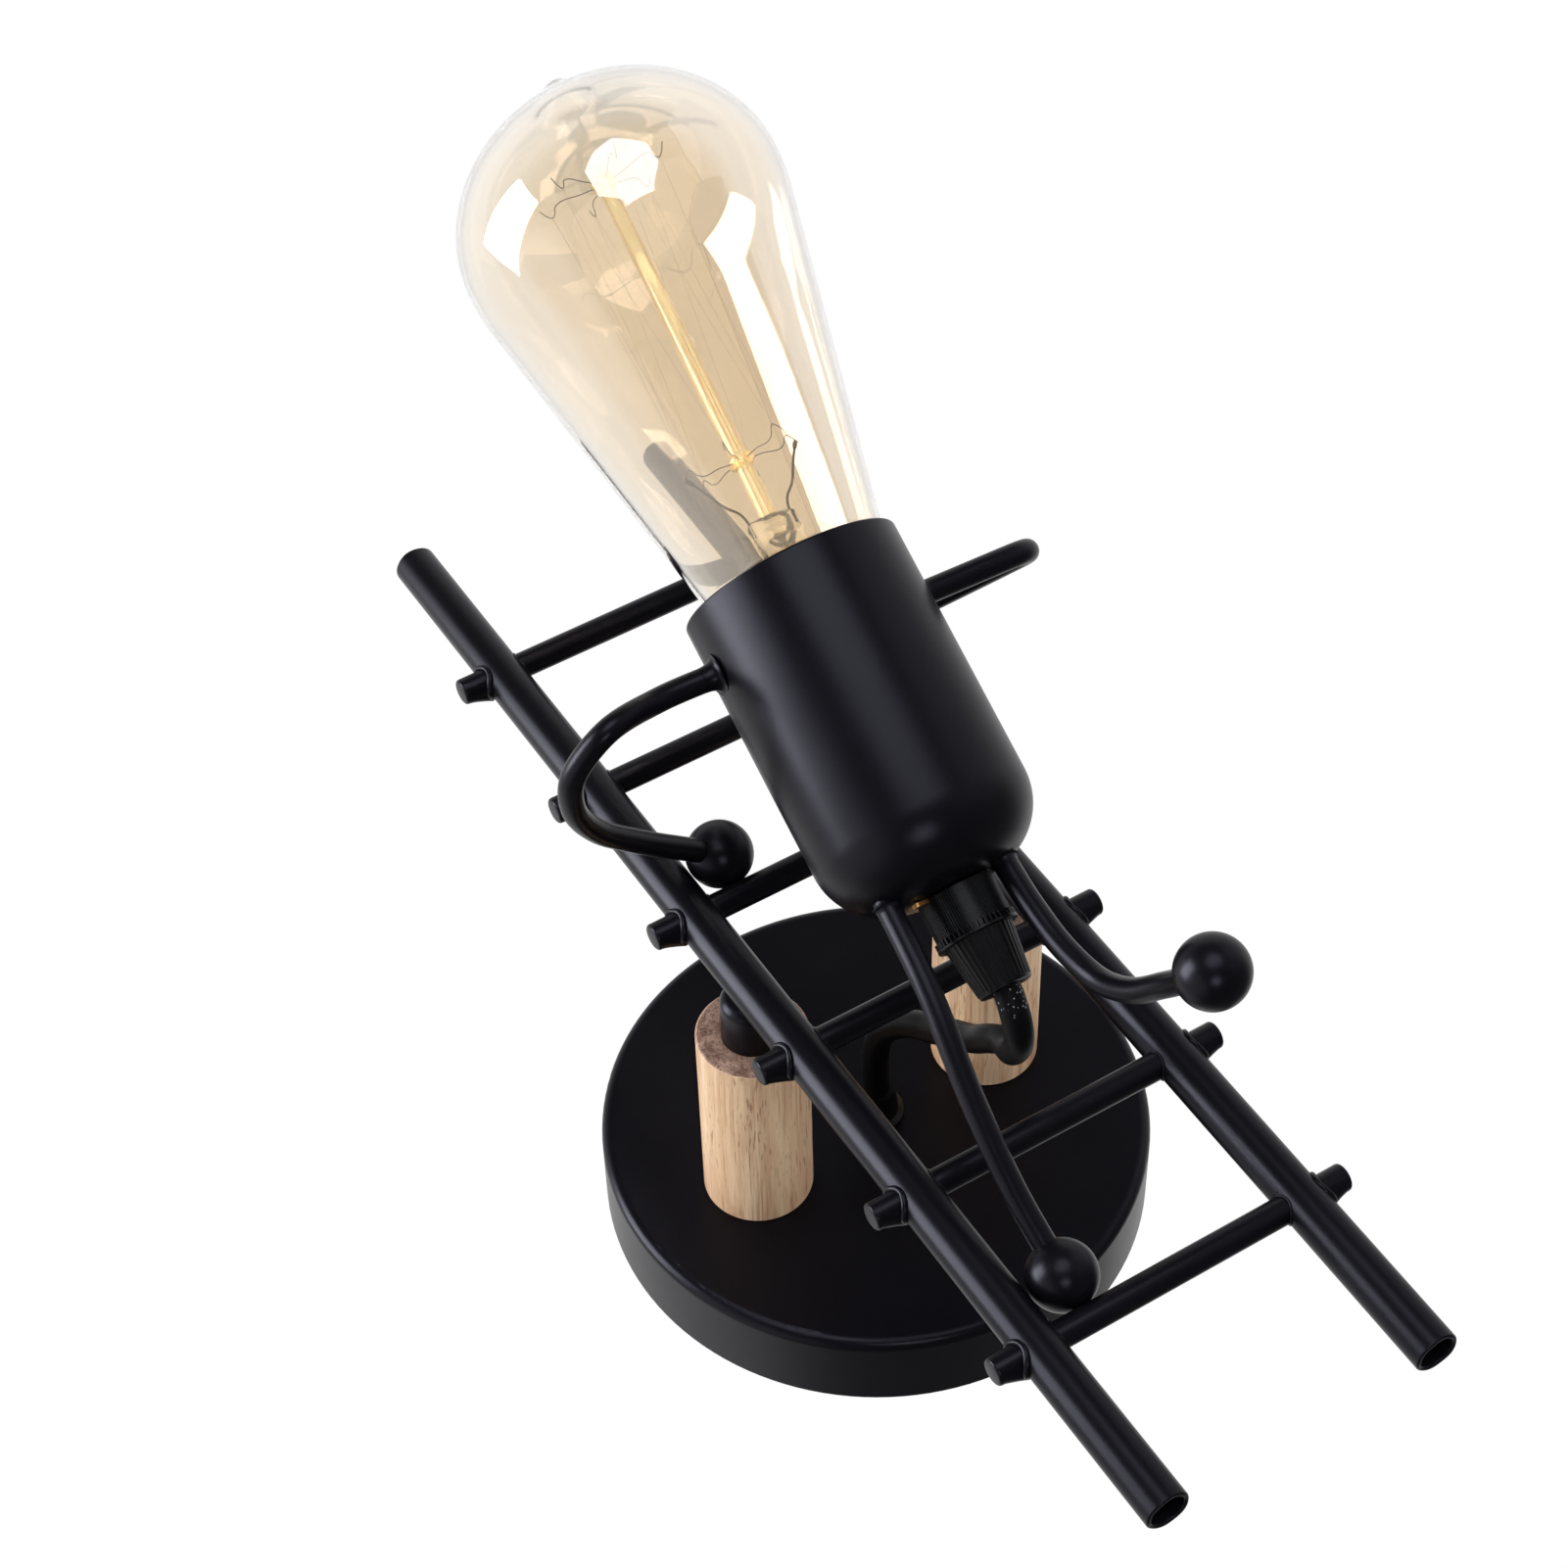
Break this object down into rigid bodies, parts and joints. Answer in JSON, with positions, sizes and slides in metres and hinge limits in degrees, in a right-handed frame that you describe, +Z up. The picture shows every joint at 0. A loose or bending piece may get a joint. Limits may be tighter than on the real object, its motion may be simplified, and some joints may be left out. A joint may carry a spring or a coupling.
{
  "type": "wall lamp",
  "caption": "Matte black wall lamp: a figure with a bulb for its head leans out from a ladder that stands off a round base on wooden posts.",
  "frame": {"origin": "centre of the pair of wall screw holes, on the wall plane behind the round base", "axes": "+Z runs up the wall along the ladder, -Y points out of the wall into the room, +X is to the right as seen from the room"},
  "size_m": [0.112, 0.2075, 0.268],
  "materials": {
    "black_powder_coat": "matte black powder coat",
    "zinc_steel": "bright zinc plate",
    "black_screw": "black",
    "black_plastic": "matte black",
    "white_insulator": "satin white",
    "brass": "bright brass",
    "wire_green": "green wire",
    "wire_brown": "brown wire",
    "wire_blue": "blue wire",
    "post_wood": "bare pale wood",
    "solder": "dull solder",
    "black_glass": "black glass",
    "bulb_cap_metal": "satin",
    "amber_glass": "clear amber",
    "clear_glass": "clear",
    "lamp_wire": "bare wire",
    "cable_rubber": "matte black sheath"
  },
  "bodies": {
    "root": {"base_cover": "black_powder_coat", "wall_bracket": "zinc_steel", "side_screws": "black_screw", "cord_grip": "black_plastic", "cord_grip_nut": "black_plastic", "terminal_block": "white_insulator", "earth_screw": "brass", "earth_wire": "wire_green", "live_wire": "wire_brown", "neutral_wire": "wire_blue", "post_screws": "zinc_steel", "post_washers": "zinc_steel", "left_post_wood": "post_wood", "right_post_wood": "post_wood", "left_post_core": "black_powder_coat", "right_post_core": "black_powder_coat", "left_rail": "black_powder_coat", "right_rail": "black_powder_coat", "rung_1": "black_powder_coat", "rung_2": "black_powder_coat", "rung_3": "black_powder_coat", "rung_4": "black_powder_coat", "rung_5": "black_powder_coat", "rung_6": "black_powder_coat", "rung_welds": "black_powder_coat", "socket_housing": "black_powder_coat", "left_arm": "black_powder_coat", "right_arm": "black_powder_coat", "left_leg": "black_powder_coat", "right_leg": "black_powder_coat", "limb_welds": "black_powder_coat", "left_hand": "black_powder_coat", "right_hand": "black_powder_coat", "left_foot": "black_powder_coat", "right_foot": "black_powder_coat", "brass_washer": "brass", "lampholder_grip": "black_plastic", "lampholder_nipple": "zinc_steel", "holder_base": "black_plastic", "holder_skirt": "black_plastic", "contact_carrier": "white_insulator", "screw_shell": "brass", "centre_contact": "brass", "contact_screws": "brass", "holder_wires": "wire_brown", "flex_cable": "cable_rubber"},
    "bulb_carrier": {"bulb_tip_contact": "solder"},
    "bulb": {"bulb_cap": "bulb_cap_metal", "bulb_insulator": "black_glass", "bulb_glass": "amber_glass", "glass_stem": "clear_glass", "support_rod": "clear_glass", "support_hooks": "lamp_wire", "filament": "lamp_wire", "lead_wires": "lamp_wire"}
  },
  "joints": [
    {"name": "bulb_travel", "type": "slide", "parent": "root", "child": "bulb_carrier", "axis": [0.0637, -0.4398, 0.8958], "range_m": [0, 0.0182]},
    {"name": "bulb_turn", "type": "hinge", "parent": "bulb_carrier", "child": "bulb", "pos_m": [0.0027, -0.12723, 0.00232], "axis": [0.0637, -0.4398, 0.8958], "range_deg": [0, 1800]}
  ],
  "couplings": [
    {"joint": "bulb_travel", "follows": "bulb_turn", "m_per_rad": 0.0005761}
  ]
}
